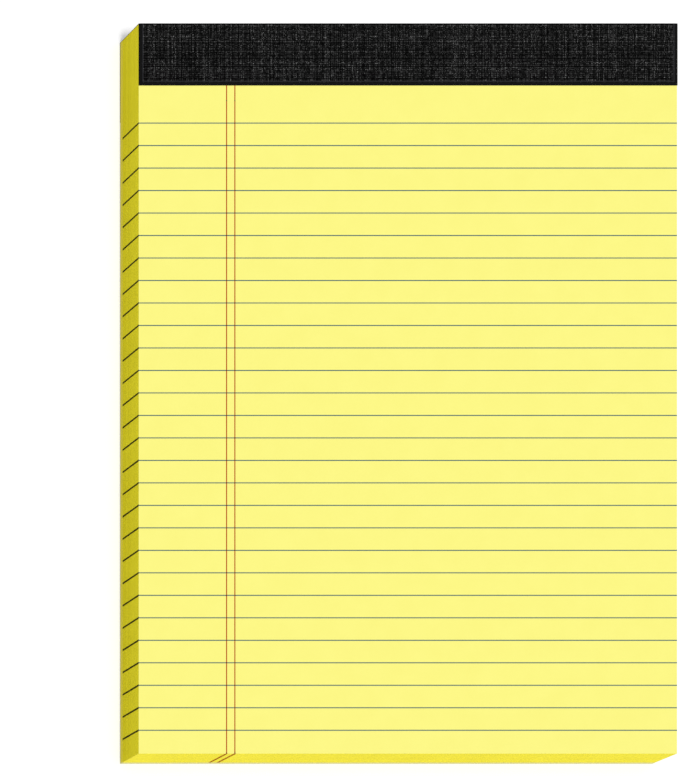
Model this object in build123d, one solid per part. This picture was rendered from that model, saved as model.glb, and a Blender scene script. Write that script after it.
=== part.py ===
from build123d import *
import os

os.makedirs("parts", exist_ok=True)

# A top-bound ruled pad lying on its back, in mm.
# X runs across the pad, Y from the foot to the bound head, Z up out of the writing face.
# The origin is in the middle of the pad, on the surface that it lies on.

# Sheets and board
pad_width = 215.9
pad_length = 292.8
sheet_count = 50
sheet_pitch = 0.12
board_thickness = 0.8

# Cloth binding tape, folded over the head
tape_thickness = 0.2
front_flap = 24.9
back_flap = 32.5
tape_inner_fold = 0.25

# Flat wire staples under the tape
staple_count = 3
staple_spacing = 68.0
staple_from_head = 12.0
staple_crown = 12.7
staple_end_gap = 4.5
wire_width = 0.7
wire_thickness = 0.5
wire_inner_bend = 0.3

# Ink of the printed lines, soaked into the face and edges of the sheets.
# The ruled lines go in twice as deep, so they run on beneath the margin lines.
ink_depth = 0.03

# Ruled lines across the sheets, printed off both side edges
rule_pitch = 9.016
first_rule_from_head = 39.95
bare_foot = 6.0
rule_width = 0.38
rule_edge_mark = 0.76

# Margin lines down the sheets, printed over the ruled lines and off the foot edge
margin_from_left = 35.3
margin_spacing = 3.32
margin_count = 2
margin_width = 0.38
margin_foot_mark = 1.1

# Levels and edges that follow from the sizes above
rule_depth = 2 * ink_depth
board_back = tape_thickness
board_front = board_back + board_thickness
block_height = sheet_count * sheet_pitch
sheets_front = board_front + block_height
tape_front = sheets_front + tape_thickness
tape_head = pad_length / 2
block_head = tape_head - tape_thickness
block_foot = -pad_length / 2
block_side = pad_width / 2

# A box stands on its place in Z and is centred on it in X and Y.
STANDING = (Align.CENTER, Align.CENTER, Align.MIN)


def bent_strip(middle_line, thickness, depth):
    """A strip of even thickness along its middle line in the XY plane, pulled out along Z."""
    return extrude(trace(middle_line, thickness), depth / 2, both=True)


def binding_tape():
    """The cloth strip: front flap, round the head, back flap."""
    half = tape_thickness / 2
    middle_line = FilletPolyline(
        (tape_head - front_flap, tape_front - half),
        (tape_head - half, tape_front - half),
        (tape_head - half, half),
        (tape_head - back_flap, half),
        radius=tape_inner_fold + half,
    )
    return Plane.YZ * bent_strip(middle_line, tape_thickness, pad_width)


def staple():
    """One staple: its crown flush with the front sheet, its ends folded in flush with the board."""
    half = wire_thickness / 2
    end = staple_end_gap / 2
    leg = staple_crown / 2 - half
    middle_line = FilletPolyline(
        (-end, board_back + half),
        (-leg, board_back + half),
        (-leg, sheets_front - half),
        (leg, sheets_front - half),
        (leg, board_back + half),
        (end, board_back + half),
        radius=wire_inner_bend + half,
    )
    return Plane.XZ * bent_strip(middle_line, wire_thickness, wire_width)


def binding_staples():
    """The row of staples under the tape's front flap."""
    row = Pos(0, tape_head - staple_from_head, 0) * GridLocations(staple_spacing, 0, staple_count, 1)
    return Part() + [place * staple() for place in row]


def cut_flush(thickness, level, rounded_level):
    """A layer as large as the pad, with its head edge rounded at one level to fit in the fold."""
    length = block_head - block_foot
    middle = (block_head + block_foot) / 2
    layer = Pos(0, middle, level) * Box(pad_width, length, thickness, align=STANDING)
    edges = layer.edges().filter_by(Axis.X).filter_by_position(Axis.Z, rounded_level, rounded_level)
    return fillet(edges.sort_by(Axis.Y)[-1], tape_inner_fold)


def blue_rule(y):
    """One ruled line: its strip of ink across the front sheet, and its marks down both sides."""
    front = Pos(0, y, sheets_front - rule_depth) * Box(pad_width, rule_width, rule_depth, align=STANDING)
    mark = Box(rule_depth, rule_edge_mark, block_height, align=STANDING)
    place = block_side - rule_depth / 2
    return front + [Pos(side * place, y, board_front) * mark for side in (-1, 1)]


def blue_rules():
    """All the ruled lines from the head down to the bare foot."""
    ruled_length = pad_length - first_rule_from_head - bare_foot
    rule_count = int(ruled_length / rule_pitch) + 1
    first = tape_head - first_rule_from_head
    return Part() + [blue_rule(first - index * rule_pitch) for index in range(rule_count)]


def margin_rule(x):
    """One margin line: its strip of ink from the tape to the foot, and its mark down the foot."""
    line_head = tape_head - front_flap
    front = Pos(x, (line_head + block_foot) / 2, sheets_front - ink_depth) * Box(
        margin_width, line_head - block_foot, ink_depth, align=STANDING
    )
    mark = Pos(x, block_foot + ink_depth / 2, board_front) * Box(
        margin_foot_mark, ink_depth, block_height, align=STANDING
    )
    return front + mark


def margin_rules():
    """The margin lines, which pass over every ruled line."""
    first = margin_from_left - block_side
    return Part() + [margin_rule(first + index * margin_spacing) for index in range(margin_count)]


staples = binding_staples()
margins = margin_rules()
rules = blue_rules() - margins
pieces = {
    "ruled_sheets": cut_flush(block_height, board_front, sheets_front) - staples - rules - margins,
    "backing_board": cut_flush(board_thickness, board_back, board_back) - staples,
    "binding_tape": binding_tape(),
    "binding_staples": staples,
    "blue_rules": rules,
    "margin_rules": margins,
}

for name, shape in pieces.items():
    export_step(shape, f"parts/{name}.step")
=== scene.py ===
import math
import random

import bpy
from mathutils import Matrix, Vector, noise


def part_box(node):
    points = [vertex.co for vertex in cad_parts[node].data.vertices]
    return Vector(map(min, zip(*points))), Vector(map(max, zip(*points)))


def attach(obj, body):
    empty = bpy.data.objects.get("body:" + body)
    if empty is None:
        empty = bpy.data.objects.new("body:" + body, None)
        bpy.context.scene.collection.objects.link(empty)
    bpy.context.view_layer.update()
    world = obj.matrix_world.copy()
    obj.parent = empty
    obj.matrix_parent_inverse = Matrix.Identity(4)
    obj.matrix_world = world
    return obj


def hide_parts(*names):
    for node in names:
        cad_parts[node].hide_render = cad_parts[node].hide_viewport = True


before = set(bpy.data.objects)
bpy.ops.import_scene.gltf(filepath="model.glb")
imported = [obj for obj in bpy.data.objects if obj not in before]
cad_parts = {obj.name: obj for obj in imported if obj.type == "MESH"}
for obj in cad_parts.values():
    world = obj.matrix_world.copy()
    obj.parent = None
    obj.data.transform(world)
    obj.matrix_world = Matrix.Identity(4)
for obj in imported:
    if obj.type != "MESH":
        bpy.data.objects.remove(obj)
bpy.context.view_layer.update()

# The pad lies on its back: X to the right, Y to the bound head, Z up. Sizes are in metres.
MM = 0.001

# What the frame gives: where the sheets, the cloth and the printed lines lie
sheets_low, sheets_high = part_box("ruled_sheets")
tape_low, tape_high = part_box("binding_tape")
rules_low, rules_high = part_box("blue_rules")
margins_low, margins_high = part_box("margin_rules")
front_flap_edge = margins_high.y
face_level = sheets_high.z
cloth_thickness = tape_high.z - face_level

# Sheets, as the guillotine leaves their edges. The bevel's share is of one sheet's thickness.
SHEET_COUNT = 50
EDGE_STEP = 6 * MM
EDGE_RECESS = 0.04 * MM
EDGE_SPREAD = 0.03 * MM
EDGE_WAVE = 0.012 * MM
EDGE_WAVE_LENGTH = 30 * MM
SHEET_WAVE_STEP = 5.7
EDGE_GROOVE = 0.06 * MM
EDGE_BEVEL_SHARE = 0.12
REGISTER_DRIFT = 0.035 * MM
CUT_SEED = 11
sheet_pitch = (face_level - sheets_low.z) / SHEET_COUNT

# Ruled lines, and the spread of their marks' widths from sheet to sheet
RULE_COUNT = 28
RULE_WIDTH = 0.38 * MM
RULE_EDGE_MARK = 0.76 * MM
RULE_MARK_SPREAD = (0.92, 1.08)
RULE_SEED = 23

# Margin lines, which the press prints a little to the left
MARGIN_COUNT = 2
MARGIN_WIDTH = 0.41 * MM
MARGIN_FOOT_MARK = 1.1 * MM
MARGIN_MARK_SPREAD = (0.85, 1.05)
MARGIN_PRESS_DRIFT = 0.03 * MM
MARGIN_SEED = 31

# How the ink lies on the paper. The bare share keeps the marks of two sheets apart.
INK_SUNK = 0.005 * MM
RULE_INK_PROUD = 0.008 * MM
MARGIN_INK_PROUD = 0.014 * MM
EDGE_INK_PROUD = 0.01 * MM
MARK_BARE_SHARE = 0.02

# Where the first and last lines lie
first_rule = rules_high.y - RULE_EDGE_MARK / 2
last_rule = rules_low.y + RULE_EDGE_MARK / 2
rule_pitch = (first_rule - last_rule) / (RULE_COUNT - 1)
first_margin = margins_low.x + MARGIN_FOOT_MARK / 2 - MARGIN_PRESS_DRIFT
last_margin = margins_high.x - MARGIN_FOOT_MARK / 2 - MARGIN_PRESS_DRIFT

# Book cloth, as a folded sheet
CLOTH_FOLD = 0.15 * MM
CLOTH_GRID = 0.6 * MM
CLOTH_FOLD_STEPS = 5
CLOTH_RIM = 0.6 * MM
CLOTH_RIM_SUNK = 0.05 * MM
RIPPLE_HEIGHT = 0.012 * MM
RIPPLE_WIDTH = 1.4 * MM
RIPPLE_LENGTH = 9 * MM

# The cloth's threads. Wander, unevenness and the count's margin are shares of a thread's pitch.
WARP_PITCH = 0.44 * MM
WEFT_PITCH = 0.46 * MM
THREAD_WANDER = 0.6
WANDER_LENGTH = 8 * MM
WANDER_KEPT_ACROSS = 0.3
THREAD_UNEVENNESS = 0.55
COUNT_MARGIN = 0.01
FIRST_THREAD = 1777
SLUB_LENGTH = 5 * MM
SLUB_ROW_STEP = 3.7
LINT_SIZE = 0.2 * MM

# Their tones, as shares of what the screen shows
THREAD_DARKEST = 0.10
THREAD_SPREAD = 0.25
THREAD_CURVE = 1.1
THREAD_UNDER = 0.2
SLUB_DARKEST, SLUB_PALEST = 0.4, 1.2
KNOT_DARKEST, KNOT_SPREAD = 0.45, 1.1
LINT_DARKEST = 0.5
SCREEN_GAMMA = 2.2

# The cloth's sealed rim, the pale thread along it, and the painted shade along a fold
SEAL_WIDTH = 0.95 * MM
SEAL_BLUR = 0.3 * MM
SEAL_TONE = 0.105
RIM_THREAD_WIDTH = 0.5 * MM
RIM_THREAD_SHARE = 0.85
RIM_THREAD = (0.185, 0.185, 0.195, 1)
FOLD_WIDTH = 0.45 * MM
FOLD_BLUR = 0.4 * MM
FOLD_PAINTED_SHADE_TONE = 0.1


# Mesh making

def mesh_piece(name, points, faces, materials, face_materials=None):
    """A new object from points and faces, with its materials."""
    mesh = bpy.data.meshes.new(name)
    mesh.from_pydata(points, [], faces)
    for material in materials:
        mesh.materials.append(material)
    if face_materials:
        mesh.polygons.foreach_set("material_index", face_materials)
    mesh.update()
    piece = bpy.data.objects.new(name, mesh)
    bpy.context.scene.collection.objects.link(piece)
    return piece


def add_block(points, faces, low, high):
    """Adds a square-edged block between two opposite corners."""
    start = len(points)
    for z in (low[2], high[2]):
        for y in (low[1], high[1]):
            for x in (low[0], high[0]):
                points.append((x, y, z))
    for corners in ((0, 2, 3, 1), (4, 5, 7, 6), (0, 1, 5, 4), (2, 6, 7, 3), (0, 4, 6, 2), (1, 3, 7, 5)):
        faces.append([start + corner for corner in corners])


# Sheets

cuts = random.Random(CUT_SEED)
sheet_recess = [EDGE_RECESS + cuts.uniform(-0.5, 0.5) * EDGE_SPREAD for _ in range(SHEET_COUNT)]
sheet_register = [cuts.gauss(0, 1) * REGISTER_DRIFT for _ in range(SHEET_COUNT)]


def edge_recess(sheet, x, y):
    """How far one sheet's edge lies inside the pad's side near a place on it."""
    place = Vector((x / EDGE_WAVE_LENGTH, y / EDGE_WAVE_LENGTH, SHEET_WAVE_STEP * sheet))
    return sheet_recess[sheet] + EDGE_WAVE * noise.noise(place)


def sheet_outline():
    """Places round a sheet, foot first and anticlockwise, each with its way out."""
    corners = [
        (sheets_low.x, sheets_low.y),
        (sheets_high.x, sheets_low.y),
        (sheets_high.x, sheets_high.y),
        (sheets_low.x, sheets_high.y),
    ]
    ways_out = [(0, -1), (1, 0), (0, 1), (-1, 0)]
    places = []
    for side in range(4):
        start = Vector(corners[side])
        run = Vector(corners[(side + 1) % 4]) - start
        steps = round(run.length / EDGE_STEP)
        corner_way = Vector(ways_out[side]) + Vector(ways_out[side - 1])
        places.append((start, corner_way))
        for step in range(1, steps):
            places.append((start + run * step / steps, Vector(ways_out[side])))
    return places


def sheet_stack(face_paper, edge_paper):
    """The block of sheets: every sheet's own cut edge, with a fine groove between sheets."""
    outline = sheet_outline()
    points = []
    ring_count = 0
    for sheet in range(SHEET_COUNT):
        bottom = sheets_low.z + sheet * sheet_pitch
        top_sheet = sheet == SHEET_COUNT - 1
        bevel_high = 1.0 if top_sheet else 1 - EDGE_BEVEL_SHARE
        levels = [(0.0, EDGE_GROOVE), (EDGE_BEVEL_SHARE, 0.0), (bevel_high, 0.0)]
        for share, groove in levels:
            for place, way_out in outline:
                inward = edge_recess(sheet, place.x, place.y) + groove
                at = place - way_out * inward
                points.append((at.x, at.y, bottom + share * sheet_pitch))
            ring_count += 1
    around = len(outline)
    faces = []
    for ring in range(ring_count - 1):
        for step in range(around):
            after = (step + 1) % around
            low, high = ring * around, (ring + 1) * around
            faces.append((low + step, low + after, high + after, high + step))
    edge_count = len(faces)
    top = (ring_count - 1) * around
    faces.append(list(range(top, top + around)))
    faces.append(list(reversed(range(around))))
    face_materials = [1] * edge_count + [0, 1]
    return mesh_piece("sheet_stack", points, faces, [face_paper, edge_paper], face_materials)


# Printed lines

def mark_levels(sheet):
    """The levels between which one sheet's edge carries its marks."""
    bottom = sheets_low.z + (sheet + MARK_BARE_SHARE) * sheet_pitch
    top = sheets_low.z + (sheet + 1) * sheet_pitch
    return bottom, top


def ruled_lines(ink, edge_ink):
    """The ruled lines on the front sheet, and the ends of every sheet's lines on both sides."""
    points, faces = [], []
    lines = [first_rule - index * rule_pitch for index in range(RULE_COUNT)]
    for y in lines:
        left = sheets_low.x + edge_recess(SHEET_COUNT - 1, sheets_low.x, y)
        right = sheets_high.x - edge_recess(SHEET_COUNT - 1, sheets_high.x, y)
        add_block(
            points,
            faces,
            (left, y - RULE_WIDTH / 2, face_level - INK_SUNK),
            (right, y + RULE_WIDTH / 2, face_level + RULE_INK_PROUD),
        )
    face_count = len(faces)
    spread = random.Random(RULE_SEED)
    for y in lines:
        for sheet in range(SHEET_COUNT):
            middle = y + sheet_register[sheet]
            half = RULE_EDGE_MARK / 2 * spread.uniform(*RULE_MARK_SPREAD)
            bottom, top = mark_levels(sheet)
            for side in (-1, 1):
                edge = sheets_high.x - edge_recess(sheet, side * sheets_high.x, y)
                ends = sorted((side * (edge - EDGE_INK_PROUD), side * (edge + EDGE_INK_PROUD)))
                add_block(points, faces, (ends[0], middle - half, bottom), (ends[1], middle + half, top))
    face_materials = [0] * face_count + [1] * (len(faces) - face_count)
    return mesh_piece("ruled_lines", points, faces, [ink, edge_ink], face_materials)


def margin_lines(ink, edge_ink):
    """The margin lines on the front sheet, and the ends of every sheet's lines at the foot."""
    points, faces = [], []
    spacing = (last_margin - first_margin) / (MARGIN_COUNT - 1)
    lines = [first_margin + index * spacing for index in range(MARGIN_COUNT)]
    for x in lines:
        foot = sheets_low.y + edge_recess(SHEET_COUNT - 1, x, sheets_low.y)
        add_block(
            points,
            faces,
            (x - MARGIN_WIDTH / 2, foot, face_level - INK_SUNK),
            (x + MARGIN_WIDTH / 2, front_flap_edge, face_level + MARGIN_INK_PROUD),
        )
    face_count = len(faces)
    spread = random.Random(MARGIN_SEED)
    for x in lines:
        for sheet in range(SHEET_COUNT):
            middle = x + sheet_register[sheet]
            half = MARGIN_FOOT_MARK / 2 * spread.uniform(*MARGIN_MARK_SPREAD)
            bottom, top = mark_levels(sheet)
            edge = sheets_low.y + edge_recess(sheet, x, sheets_low.y)
            low = (middle - half, edge - EDGE_INK_PROUD, bottom)
            high = (middle + half, edge + EDGE_INK_PROUD, top)
            add_block(points, faces, low, high)
    face_materials = [0] * face_count + [1] * (len(faces) - face_count)
    return mesh_piece("margin_lines", points, faces, [ink, edge_ink], face_materials)


# Book cloth

def even_steps(start, end, step):
    """Numbers from start to end, both included, about one step apart."""
    count = max(1, round(abs(end - start) / step))
    return [start + (end - start) * index / count for index in range(count + 1)]


def cloth_path():
    """The cloth's middle line from the front flap's edge round the head to the back flap's edge.

    Each place is (y, z, way out in y, way out in z, length so far)."""
    half = cloth_thickness / 2
    top, head, bottom = tape_high.z - half, tape_high.y - half, tape_low.z + half
    path = []

    def reach(y, z, out_y, out_z):
        so_far = path[-1][4] + math.dist(path[-1][:2], (y, z)) if path else 0.0
        path.append((y, z, out_y, out_z, so_far))

    def turn(centre_y, centre_z, first_angle):
        for step in range(1, CLOTH_FOLD_STEPS):
            angle = math.radians(first_angle - 90 * step / CLOTH_FOLD_STEPS)
            out_y, out_z = math.cos(angle), math.sin(angle)
            reach(centre_y + CLOTH_FOLD * out_y, centre_z + CLOTH_FOLD * out_z, out_y, out_z)

    for y in even_steps(front_flap_edge, head - CLOTH_FOLD, CLOTH_GRID):
        reach(y, top, 0.0, 1.0)
    turn(head - CLOTH_FOLD, top - CLOTH_FOLD, 90)
    for z in even_steps(top - CLOTH_FOLD, bottom + CLOTH_FOLD, CLOTH_GRID):
        reach(head, z, 1.0, 0.0)
    turn(head - CLOTH_FOLD, bottom + CLOTH_FOLD, 0)
    for y in even_steps(head - CLOTH_FOLD, tape_low.y, CLOTH_GRID):
        reach(y, bottom, 0.0, -1.0)
    return path


def cloth_relief(x, along, length):
    """How far the cloth's outside lies under its full thickness: ripples both ways and a pressed rim."""
    warp_ripple = noise.noise(Vector((x / RIPPLE_WIDTH, along / RIPPLE_LENGTH, 3.0)))
    weft_ripple = noise.noise(Vector((x / RIPPLE_LENGTH, along / RIPPLE_WIDTH, 8.0)))
    rim = min(x - tape_low.x, tape_high.x - x, along, length - along)
    pressed = max(0.0, 1 - rim / CLOTH_RIM)
    return RIPPLE_HEIGHT * (2 + warp_ripple + weft_ripple) / 2 + CLOTH_RIM_SUNK * pressed


def cloth_binding(cloth):
    """The binding strip: a closed, folded sheet with a woven outside and a plain glued inside."""
    path = cloth_path()
    length = path[-1][4]
    columns = even_steps(tape_low.x, tape_high.x, CLOTH_GRID)
    points, faces = [], []
    half = cloth_thickness / 2
    for y, z, out_y, out_z, along in path:
        for x in columns:
            lift = half - cloth_relief(x, along, length)
            points.append((x, y + out_y * lift, z + out_z * lift))
    wide = len(columns)
    for row in range(len(path) - 1):
        for column in range(wide - 1):
            near, far = row * wide + column, (row + 1) * wide + column
            faces.append((near, near + 1, far + 1, far))
    woven_count = len(faces)
    inside = len(points)
    for y, z, out_y, out_z, _ in path:
        for x in (columns[0], columns[-1]):
            points.append((x, y - out_y * half, z - out_z * half))
    last = len(path) - 1
    for row in range(last):
        near, far = inside + 2 * row, inside + 2 * (row + 1)
        faces.append((near, far, far + 1, near + 1))
        left, right = row * wide, row * wide + wide - 1
        faces.append((left, left + wide, far, near))
        faces.append((right + wide, right, near + 1, far + 1))
    faces.append([*reversed(range(wide)), inside, inside + 1])
    end = last * wide
    faces.append([*range(end, end + wide), inside + 2 * last + 1, inside + 2 * last])
    piece = mesh_piece("cloth_binding", points, faces, [cloth])
    piece.data.polygons.foreach_set("use_smooth", [face < woven_count for face in range(len(faces))])
    return piece, length


# Shader nodes

class Net:
    """Adds nodes to a tree. Every value may be a number, a colour or another node's output."""

    def __init__(self, tree):
        self.tree = tree

    def feed(self, socket, value):
        """Gives a socket its value, by a link where the value is an output."""
        if isinstance(value, bpy.types.NodeSocket):
            self.tree.links.new(value, socket)
        else:
            socket.default_value = value

    def add(self, kind, settings=None, **values):
        """A new node with its settings and its inputs' values, named as the inputs are."""
        node = self.tree.nodes.new(kind)
        for name, value in (settings or {}).items():
            setattr(node, name, value)
        for name, value in values.items():
            self.feed(node.inputs[name.replace("_", " ")], value)
        return node

    def math(self, operation, *values):
        """One sum of up to two values."""
        node = self.add("ShaderNodeMath", {"operation": operation})
        for socket, value in zip(node.inputs, values):
            self.feed(socket, value)
        return node.outputs[0]

    def steps(self, value, low, high, to_low=0.0, to_high=1.0):
        """A smooth step from low to high."""
        node = self.add("ShaderNodeMapRange", {"interpolation_type": "SMOOTHSTEP"})
        for socket, number in zip(node.inputs, (value, low, high, to_low, to_high)):
            self.feed(socket, number)
        return node.outputs[0]

    def place(self, x, y, z=0.0):
        """A place from its three coordinates."""
        return self.add("ShaderNodeCombineXYZ", X=x, Y=y, Z=z).outputs[0]

    def parts(self, vector):
        """The three coordinates of a place."""
        return self.add("ShaderNodeSeparateXYZ", Vector=vector).outputs

    def cloud(self, vector, scale, detail=2.0, roughness=0.5):
        """Noise of about 0 to 1, with features about 1 / scale metres across."""
        values = {"Vector": vector, "Scale": scale, "Detail": detail, "Roughness": roughness}
        return self.add("ShaderNodeTexNoise", **values).outputs["Fac"]

    def chance(self, x, y=0.0):
        """An even random number of 0 to 1 for each pair of whole numbers."""
        node = self.add("ShaderNodeTexWhiteNoise", {"noise_dimensions": "2D"}, Vector=self.place(x, y))
        return node.outputs["Value"]

    def mix(self, factor, first, second):
        """The first colour where the factor is 0 and the second where it is 1."""
        node = self.add("ShaderNodeMix", {"data_type": "RGBA"}, Factor=factor)
        for socket, colour in zip(node.inputs[6:8], (first, second)):
            self.feed(socket, colour)
        return node.outputs[2]


def new_group(name, inputs, outputs):
    """An empty node group with named inputs, each with its usual value, and named outputs."""
    tree = bpy.data.node_groups.new(name, "ShaderNodeTree")
    kinds = {"value": "NodeSocketFloat", "vector": "NodeSocketVector", "colour": "NodeSocketColor"}
    for label, kind, value in inputs:
        socket = tree.interface.new_socket(name=label, in_out="INPUT", socket_type=kinds[kind])
        if value is not None:
            socket.default_value = value
    for label, kind in outputs:
        tree.interface.new_socket(name=label, in_out="OUTPUT", socket_type=kinds[kind])
    net = Net(tree)
    return net, tree.nodes.new("NodeGroupInput").outputs, tree.nodes.new("NodeGroupOutput").inputs


def use_group(net, tree_name, **values):
    """Places a node group in a material's tree."""
    node = net.add("ShaderNodeGroup", {"node_tree": bpy.data.node_groups[tree_name]})
    for name, value in values.items():
        net.feed(node.inputs[name.replace("_", " ")], value)
    return node.outputs


def new_material(name, specular):
    """A material with one Principled shader, and the pad's own coordinates."""
    material = bpy.data.materials.new(name)
    material.use_nodes = True
    material.node_tree.nodes.clear()
    net = Net(material.node_tree)
    shader = net.add("ShaderNodeBsdfPrincipled")
    shader.inputs["Specular IOR Level"].default_value = specular
    output = net.add("ShaderNodeOutputMaterial")
    net.feed(output.inputs["Surface"], shader.outputs[0])
    place = net.add("ShaderNodeTexCoord").outputs["Object"]
    return material, net, shader, place


def add_roughness(net, shader, evenness, low, high):
    """Lets the gloss vary between two roughnesses with a value of 0 to 1."""
    net.feed(shader.inputs["Roughness"], net.steps(evenness, 0.0, 1.0, low, high))


def add_bump(net, shader, height, distance, strength):
    """Lets a height of 0 to 1, over a distance in metres, tilt the shader's surface."""
    bump = net.add("ShaderNodeBump", Height=height, Distance=distance, Strength=strength)
    net.feed(shader.inputs["Normal"], bump.outputs[0])


# Effects that more than one material uses, as node groups

def make_fibre_group():
    """Paper and board fibres: soft clouds of pulp with fine fibres over them."""
    net, given, made = new_group(
        "pulp_fibres",
        [("Place", "vector", None), ("Fibre Size", "value", 0.3 * MM), ("Cloud Size", "value", 6 * MM),
         ("Fibre Share", "value", 0.5)],
        [("Tone", "value"), ("Height", "value")],
    )
    fine = net.cloud(given["Place"], net.math("DIVIDE", 1.0, given["Fibre Size"]), 4.0, 0.65)
    soft = net.cloud(given["Place"], net.math("DIVIDE", 1.0, given["Cloud Size"]), 2.0, 0.5)
    fine_part = net.math("MULTIPLY", fine, given["Fibre Share"])
    soft_part = net.math("MULTIPLY", soft, net.math("SUBTRACT", 1.0, given["Fibre Share"]))
    net.feed(made["Tone"], net.steps(net.math("ADD", fine_part, soft_part), 0.3, 0.7))
    net.feed(made["Height"], fine)


def make_ink_group():
    """Printed ink: the ink's colour, broken up by the paper that shows through it."""
    net, given, made = new_group(
        "printed_ink",
        [("Place", "vector", None), ("Ink", "colour", (0, 0, 0, 1)), ("Paper", "colour", (1, 1, 1, 1)),
         ("Speck Size", "value", 0.12 * MM), ("Specks", "value", 0.2)],
        [("Colour", "colour"), ("Height", "value")],
    )
    speck = net.cloud(given["Place"], net.math("DIVIDE", 1.0, given["Speck Size"]), 2.0, 0.6)
    shows = net.math("MULTIPLY", net.steps(speck, 0.45, 0.75), given["Specks"])
    net.feed(made["Colour"], net.mix(shows, given["Ink"], given["Paper"]))
    net.feed(made["Height"], speck)


make_fibre_group()
make_ink_group()

# Colours, as light shares of red, green and blue
PAPER_PALE = (0.993, 0.946, 0.243, 1)
PAPER_DEEP = (0.975, 0.925, 0.228, 1)
# The sides' colours are a shaded copy of the edge paper, painted shade; the foot's are a lit copy, painted
# light, paler and bluer.
SIDE_PALE_IN_PAINTED_SHADE = (0.93, 0.845, 0.036, 1)
SIDE_DEEP_IN_PAINTED_SHADE = (0.76, 0.67, 0.018, 1)
FOOT_PALE_IN_PAINTED_LIGHT = (0.955, 0.865, 0.078, 1)
FOOT_DEEP_IN_PAINTED_LIGHT = (0.79, 0.69, 0.045, 1)
BLUE_INK = (0.008, 0.10, 0.16, 1)
RED_INK = (0.46, 0.052, 0.001, 1)
CROSSING_INK = (0.060, 0.014, 0.010, 1)
EDGE_BLUE_INK = (0.028, 0.026, 0.002, 1)
EDGE_RED_INK = (0.37, 0.115, 0.002, 1)
STEEL_DARK = (0.50, 0.50, 0.51, 1)
STEEL_BRIGHT = (0.70, 0.70, 0.71, 1)
BOARD_PALE = (0.50, 0.41, 0.22, 1)
BOARD_DEEP = (0.36, 0.28, 0.14, 1)
BOARD_FLECK = (0.14, 0.10, 0.06, 1)
# The board's cut edges: painted shade on its sides and painted light, paler and bluer, at its foot.
BOARD_SIDE_IN_PAINTED_SHADE = (0.80, 0.70, 0.065, 1)
BOARD_FOOT_IN_PAINTED_LIGHT = (0.765, 0.735, 0.31, 1)

# How much of the paper shows through the ink
FACE_SPECKS = 0.04
EDGE_SPECKS = 0.05

# Cut edges: how deep their colours go in, how much painted shade darkens the sides towards the board, and
# their streaks
FOOT_CUT = 0.3 * MM
BOARD_CUT = 0.02 * MM
SIDE_PAINTED_SHADE = 0.5
STREAK_SIZE = 0.15 * MM
STREAK_STRETCH = 10
FLECK_SIZE = 0.9 * MM


def face_paper():
    """Pale yellow writing paper, uncoated."""
    material, net, shader, place = new_material("yellow_writing_paper", specular=0.1)
    fibres = use_group(net, "pulp_fibres", Place=place, Fibre_Size=0.35 * MM, Cloud_Size=9 * MM)
    net.feed(shader.inputs["Base Color"], net.mix(fibres["Tone"], PAPER_DEEP, PAPER_PALE))
    add_roughness(net, shader, fibres["Height"], low=0.8, high=1.0)
    add_bump(net, shader, fibres["Height"], distance=0.02 * MM, strength=0.3)
    return material


def edge_paper():
    """The cut edges of the sheets: deeper yellow, each sheet a little different, with painted shade on the
    sides, deepening towards the board, and painted light on the foot.
    """
    material, net, shader, place = new_material("yellow_paper_edges", specular=0.05)
    across, along, up = net.parts(place)
    level = net.math("DIVIDE", net.math("SUBTRACT", up, sheets_low.z), sheet_pitch)
    sheet = net.math("FLOOR", level)
    own_tone = net.chance(sheet)
    shrink = 1 / STREAK_STRETCH
    streak_place = net.place(net.math("MULTIPLY", across, shrink), net.math("MULTIPLY", along, shrink), up)
    streak = net.cloud(streak_place, 1 / STREAK_SIZE, 3.0, 0.6)
    fibres = use_group(net, "pulp_fibres", Place=place, Fibre_Size=0.25 * MM, Cloud_Size=12 * MM)
    tone = 0.0
    for part, share in ((own_tone, 0.35), (streak, 0.35), (fibres["Tone"], 0.3)):
        tone = net.math("ADD", tone, net.math("MULTIPLY", part, share))
    # Painted shade: the sides darken sheet by sheet towards the board.
    from_middle = net.math("SUBTRACT", net.math("DIVIDE", level, SHEET_COUNT), 0.5)
    side_tone_with_painted_shade = net.math("ADD", tone, net.math("MULTIPLY", from_middle, SIDE_PAINTED_SHADE))
    # The sides take the deeper colours as painted shade and the foot the paler ones as painted light.
    side = net.mix(side_tone_with_painted_shade, SIDE_DEEP_IN_PAINTED_SHADE, SIDE_PALE_IN_PAINTED_SHADE)
    foot = net.mix(tone, FOOT_DEEP_IN_PAINTED_LIGHT, FOOT_PALE_IN_PAINTED_LIGHT)
    at_foot = net.math("LESS_THAN", along, sheets_low.y + FOOT_CUT)
    net.feed(shader.inputs["Base Color"], net.mix(at_foot, side, foot))
    add_roughness(net, shader, streak, low=0.85, high=1.0)
    add_bump(net, shader, streak, distance=0.02 * MM, strength=0.3)
    return material


def printed_ink(name, ink, paper, specks):
    """Matt printing ink on the paper."""
    material, net, shader, place = new_material(name, specular=0.1)
    print_on_paper = use_group(net, "printed_ink", Place=place, Ink=ink, Paper=paper, Specks=specks)
    colour = print_on_paper["Colour"]
    net.feed(shader.inputs["Base Color"], colour)
    add_roughness(net, shader, print_on_paper["Height"], low=0.7, high=0.95)
    add_bump(net, shader, print_on_paper["Height"], distance=0.01 * MM, strength=0.3)
    return material, net, shader, place, colour


def margin_ink():
    """Red ink, darker where it crosses the ruled lines under it."""
    material, net, shader, place, colour = printed_ink("red_margin_ink", RED_INK, PAPER_PALE, FACE_SPECKS)
    y = net.parts(place)[1]
    from_first = net.math("DIVIDE", net.math("SUBTRACT", first_rule, y), rule_pitch)
    off_line = net.math("ABSOLUTE", net.math("SUBTRACT", from_first, net.math("ROUND", from_first)))
    crossing = net.math("LESS_THAN", off_line, RULE_WIDTH / 2 / rule_pitch)
    net.feed(shader.inputs["Base Color"], net.mix(crossing, colour, CROSSING_INK))
    return material


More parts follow.
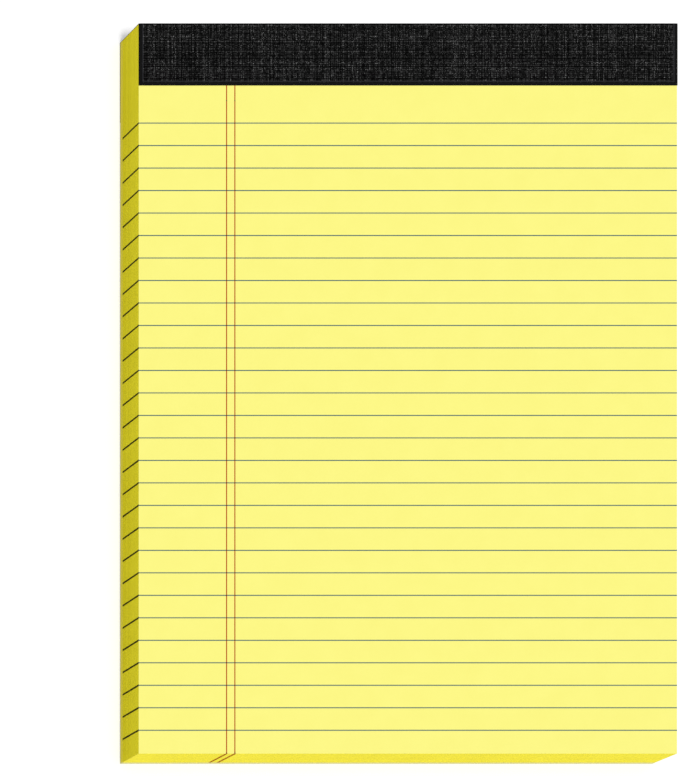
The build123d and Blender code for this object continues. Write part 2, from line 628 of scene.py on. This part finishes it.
def lay_thread(net, position, other, pitch, seed):
    """The thread that passes a position: its whole number, how far off its middle is, and its tone.

    A thread wanders sideways along its length, has its own tone and is paler on its slubs."""
    wander_place = net.place(net.math("MULTIPLY", position, WANDER_KEPT_ACROSS), other, seed)
    wander = net.math("MULTIPLY", net.cloud(wander_place, 1 / WANDER_LENGTH), THREAD_WANDER)
    count = net.math("ADD", net.math("DIVIDE", position, pitch), wander)
    count = net.math("ADD", count, seed * FIRST_THREAD)
    values = {"W": count, "Scale": 1.0, "Randomness": THREAD_UNEVENNESS}
    thread = net.add("ShaderNodeTexVoronoi", {"voronoi_dimensions": "1D"}, **values).outputs
    number = net.math("FLOOR", net.math("ADD", thread["W"], COUNT_MARGIN))
    own = net.math("MULTIPLY", net.math("POWER", net.chance(number, seed), THREAD_CURVE), THREAD_SPREAD)
    slub_row = net.math("MULTIPLY", number, SLUB_ROW_STEP)
    slub_place = net.place(slub_row, net.math("DIVIDE", other, SLUB_LENGTH), seed)
    slub = net.steps(net.cloud(slub_place, 1.0, 3.0, 0.6), 0.3, 0.7, SLUB_DARKEST, SLUB_PALEST)
    tone = net.math("MULTIPLY", net.math("ADD", own, THREAD_DARKEST), slub)
    return number, thread["Distance"], tone


def thread_form_with_painted_shade(net, own_off, crossing_off):
    """1 on the top of a thread, falling to painted shade at its edges and where it goes down between the
    next two.
    """
    own = net.steps(own_off, 0.5, 0.15, to_low=0.1)
    crossing = net.steps(crossing_off, 0.6, 0.2, to_low=0.3)
    return net.math("MULTIPLY", own, crossing)


def woven_tone(net, across, along):
    """The plain weave: the tone that its threads show, with painted shade in its gaps and dips, and the
    threads' height.
    """
    warp_number, warp_off, warp_tone = lay_thread(net, across, along, WARP_PITCH, 1)
    weft_number, weft_off, weft_tone = lay_thread(net, along, across, WEFT_PITCH, 2)
    turn = net.math("FRACT", net.math("MULTIPLY", net.math("ADD", warp_number, weft_number), 0.5))
    warp_share = net.steps(turn, 0.2, 0.3, THREAD_UNDER, 1 - THREAD_UNDER)
    weft_share = net.math("SUBTRACT", 1.0, warp_share)
    # The threads' forms give painted shade in the weave's gaps and dips, and its height.
    warp_form_and_painted_shade = thread_form_with_painted_shade(net, warp_off, weft_off)
    weft_form_and_painted_shade = thread_form_with_painted_shade(net, weft_off, warp_off)
    warp = net.math("MULTIPLY", net.math("MULTIPLY", warp_tone, warp_form_and_painted_shade), warp_share)
    weft = net.math("MULTIPLY", net.math("MULTIPLY", weft_tone, weft_form_and_painted_shade), weft_share)
    own_knot = net.math("MULTIPLY", net.chance(warp_number, weft_number), KNOT_SPREAD)
    knot = net.math("ADD", own_knot, KNOT_DARKEST)
    tone = net.math("MULTIPLY", net.math("ADD", warp, weft), knot)
    return tone, net.mix(warp_share, weft_form_and_painted_shade, warp_form_and_painted_shade)


def book_cloth():
    """Black linen book cloth: threads of uneven black and grey with painted shade between them, a sealed
    rim and painted shade along its folds.
    """
    material, net, shader, place = new_material("black_linen_book_cloth", specular=0.01)
    across, along_face, up = net.parts(place)
    along = net.math("SUBTRACT", along_face, up)
    tone, height = woven_tone(net, across, along)
    lint = net.steps(net.cloud(net.place(across, along), 1 / LINT_SIZE, 2.0, 0.8), 0.3, 0.7)
    tone = net.math("MULTIPLY", tone, net.math("ADD", lint, LINT_DARKEST))

    from_top = net.math("SUBTRACT", tape_high.z, up)
    from_bottom = net.math("SUBTRACT", up, tape_low.z)
    from_head = net.math("SUBTRACT", tape_high.y, along_face)
    from_fold = net.math("MAXIMUM", from_head, net.math("MINIMUM", from_top, from_bottom))
    # Painted shade along the folds' edges round the head.
    painted_fold_shade = net.steps(from_fold, FOLD_WIDTH, FOLD_WIDTH + FOLD_BLUR, to_low=FOLD_PAINTED_SHADE_TONE)

    # The rim of the flap's edge is kept off the back, where on_back adds a whole metre to it.
    from_side = net.math("SUBTRACT", tape_high.x, net.math("ABSOLUTE", across))
    from_flap_edge = net.math("SUBTRACT", along_face, front_flap_edge)
    on_back = net.math("LESS_THAN", up, (tape_high.z + tape_low.z) / 2)
    rim = net.math("MINIMUM", from_side, net.math("ADD", from_flap_edge, on_back))
    woven = net.steps(rim, SEAL_WIDTH, SEAL_WIDTH + SEAL_BLUR)
    past_seal = net.math("GREATER_THAN", rim, SEAL_WIDTH + SEAL_BLUR)
    before_weave = net.math("LESS_THAN", rim, SEAL_WIDTH + SEAL_BLUR + RIM_THREAD_WIDTH)
    on_rim_thread = net.math("MULTIPLY", past_seal, before_weave)

    tone = net.math("MULTIPLY", tone, net.math("MULTIPLY", woven, painted_fold_shade))
    tone = net.math("ADD", tone, net.math("MULTIPLY", net.math("SUBTRACT", 1.0, woven), SEAL_TONE))
    tone = net.mix(net.math("MULTIPLY", on_rim_thread, RIM_THREAD_SHARE), tone, RIM_THREAD)
    colour = net.add("ShaderNodeGamma", Color=tone, Gamma=SCREEN_GAMMA).outputs[0]
    net.feed(shader.inputs["Base Color"], colour)
    add_roughness(net, shader, lint, low=0.8, high=0.98)
    add_bump(net, shader, height, distance=0.08 * MM, strength=0.6)
    return material


def chipboard():
    """Straw-coloured chipboard with dark flecks of pulp, yellower on its cut edges, with painted shade on
    the sides' edges and painted light on the foot's.
    """
    material, net, shader, place = new_material("straw_chipboard", specular=0.05)
    fibres = use_group(net, "pulp_fibres", Place=place, Fibre_Size=0.5 * MM, Cloud_Size=4 * MM)
    flecks = net.cloud(place, 1 / FLECK_SIZE)
    base = net.mix(fibres["Tone"], BOARD_DEEP, BOARD_PALE)
    base = net.mix(net.steps(flecks, 0.66, 0.74), base, BOARD_FLECK)
    low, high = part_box("backing_board")
    across, along, _ = net.parts(place)
    half_width, half_length = (high.x - low.x) / 2, (high.y - low.y) / 2
    from_side = net.math("SUBTRACT", half_width, net.math("ABSOLUTE", across))
    from_middle = net.math("ABSOLUTE", net.math("SUBTRACT", along, (high.y + low.y) / 2))
    from_end = net.math("SUBTRACT", half_length, from_middle)
    cut_edge = net.math("LESS_THAN", net.math("MINIMUM", from_side, from_end), BOARD_CUT)
    at_foot = net.math("LESS_THAN", along, low.y + FOOT_CUT)
    # Painted light and shade: the foot's cut edge paler and bluer than the sides'.
    edge_colour = net.mix(at_foot, BOARD_SIDE_IN_PAINTED_SHADE, BOARD_FOOT_IN_PAINTED_LIGHT)
    edge_colour = net.mix(net.math("MULTIPLY", fibres["Tone"], 0.1), edge_colour, BOARD_PALE)
    net.feed(shader.inputs["Base Color"], net.mix(cut_edge, base, edge_colour))
    add_roughness(net, shader, fibres["Tone"], low=0.85, high=1.0)
    add_bump(net, shader, fibres["Height"], distance=0.05 * MM, strength=0.5)
    return material


def staple_steel():
    """Bright drawn staple wire."""
    material, net, shader, place = new_material("staple_wire", specular=0.5)
    shader.inputs["Metallic"].default_value = 1.0
    drawn = net.cloud(place, 1 / (0.2 * MM), 2.0)
    net.feed(shader.inputs["Base Color"], net.mix(drawn, STEEL_DARK, STEEL_BRIGHT))
    add_roughness(net, shader, drawn, low=0.2, high=0.45)
    add_bump(net, shader, drawn, distance=0.01 * MM, strength=0.3)
    return material


# Pieces on the frame

def dress(name, material):
    """Gives a piece of the frame its material."""
    piece = bpy.data.objects[name]
    piece.data.materials.clear()
    piece.data.materials.append(material)


def add_pieces():
    """Makes every piece and puts it in the place of its part of the frame."""
    paper, edges = face_paper(), edge_paper()
    blue = printed_ink("blue_rule_ink", BLUE_INK, PAPER_PALE, FACE_SPECKS)[0]
    blue_edge = printed_ink("blue_edge_ink", EDGE_BLUE_INK, SIDE_DEEP_IN_PAINTED_SHADE, EDGE_SPECKS)[0]
    red_edge = printed_ink("red_edge_ink", EDGE_RED_INK, FOOT_PALE_IN_PAINTED_LIGHT, EDGE_SPECKS)[0]
    binding, cloth_length = cloth_binding(book_cloth())
    made = [
        (sheet_stack(paper, edges), "ruled_sheets", "yellow_paper"),
        (ruled_lines(blue, blue_edge), "blue_rules", "blue_ink"),
        (margin_lines(margin_ink(), red_edge), "margin_rules", "red_ink"),
        (binding, "binding_tape", "black_book_cloth"),
    ]
    for piece, node, slot in made:
        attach(piece, "root")
        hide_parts(node)
    dress("backing_board", chipboard())
    dress("binding_staples", staple_steel())


# Floor, light and camera

FLOOR_SIZE = 12.0
FLOOR_WHITE = 0.80
FLOOR_LIFT = 0.27
SKY_STRENGTH = 0.5
LAMP_WAY = (-0.08, -0.55, 0.82)
LAMP_SOFTNESS = math.radians(25)


def seen_directly(net):
    """1 for what the camera sees, also in gloss and through glass, and 0 for light on the pad."""
    path = net.add("ShaderNodeLightPath").outputs
    seen = net.math("MAXIMUM", path["Is Camera Ray"], path["Is Glossy Ray"])
    return net.math("MAXIMUM", seen, path["Is Transmission Ray"])


def add_floor():
    """A plain white floor that keeps the pad's shadow."""
    material, net, shader, _ = new_material("studio_floor", specular=0.0)
    shader.inputs["Roughness"].default_value = 1.0
    shader.inputs["Base Color"].default_value = (FLOOR_WHITE, FLOOR_WHITE, FLOOR_WHITE, 1)
    shader.inputs["Emission Color"].default_value = (1, 1, 1, 1)
    net.feed(shader.inputs["Emission Strength"], net.math("MULTIPLY", seen_directly(net), FLOOR_LIFT))
    half = FLOOR_SIZE / 2
    corners = [(-half, -half, 0), (half, -half, 0), (half, half, 0), (-half, half, 0)]
    mesh_piece("studio_floor", corners, [(0, 1, 2, 3)], [material])


def add_light():
    """An even white room and one large soft lamp above the foot of the pad."""
    world = bpy.data.worlds.new("studio")
    bpy.context.scene.world = world
    world.use_nodes = True
    net = Net(world.node_tree)
    background = world.node_tree.nodes["Background"]
    seen = seen_directly(net)
    strength = net.math("ADD", SKY_STRENGTH, net.math("MULTIPLY", seen, 1 - SKY_STRENGTH))
    background.inputs["Color"].default_value = (1, 1, 1, 1)
    net.feed(background.inputs["Strength"], strength)
    toward = Vector(LAMP_WAY).normalized()
    lamp = bpy.data.lights.new("soft_lamp", "SUN")
    lamp.angle = LAMP_SOFTNESS
    lamp.energy = math.pi * (1 - SKY_STRENGTH) / toward.z
    light = bpy.data.objects.new("soft_lamp", lamp)
    light.rotation_euler = toward.to_track_quat("Z", "Y").to_euler()
    bpy.context.scene.collection.objects.link(light)


# The photograph's frame, and what was measured in it, in its pixels
PHOTO_WIDTH, PHOTO_HEIGHT = 679, 776
FACE_LEFT, FACE_RIGHT = 138.6, 677.1
FACE_TOP, FACE_BOTTOM = 23.4, 753.8
VANISH_X, VANISH_Y = -1370, 1586
EYE_HEIGHT_PER_THICKNESS = 81.8
SENSOR = 36.0


def add_camera():
    """The photograph's view: oblique, with the picture plane parallel to the writing face."""
    scale = (sheets_high.x - sheets_low.x) / (FACE_RIGHT - FACE_LEFT)

    def on_face(pixel_x, pixel_y):
        from_middle_x = (pixel_x - (FACE_LEFT + FACE_RIGHT) / 2) * scale
        from_middle_y = ((FACE_TOP + FACE_BOTTOM) / 2 - pixel_y) * scale
        return Vector((from_middle_x, from_middle_y, face_level))

    middle = on_face(PHOTO_WIDTH / 2, PHOTO_HEIGHT / 2)
    eye = on_face(VANISH_X, VANISH_Y)
    eye.z += EYE_HEIGHT_PER_THICKNESS * (face_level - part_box("backing_board")[0].z)
    back = (eye - middle).normalized()
    lens = bpy.data.cameras.new("photo_lens")
    lens.sensor_width = SENSOR
    lens.lens = SENSOR * (eye - middle).length / (PHOTO_HEIGHT * scale)
    lens.clip_start, lens.clip_end = 0.01, 100
    camera = bpy.data.objects.new("photo_camera", lens)
    stand = bpy.data.objects.new("camera_stand", None)
    for item in (camera, stand):
        bpy.context.scene.collection.objects.link(item)
    view_plane = Matrix(((1, 0, back.x), (0, 1, back.y), (0, 0, back.z)))
    camera.parent = stand
    camera.matrix_parent_inverse = Matrix.Translation(eye) @ view_plane.to_4x4()
    bpy.context.scene.camera = camera


add_pieces()
add_floor()
add_light()
add_camera()
bpy.context.scene.view_settings.view_transform = "Standard"
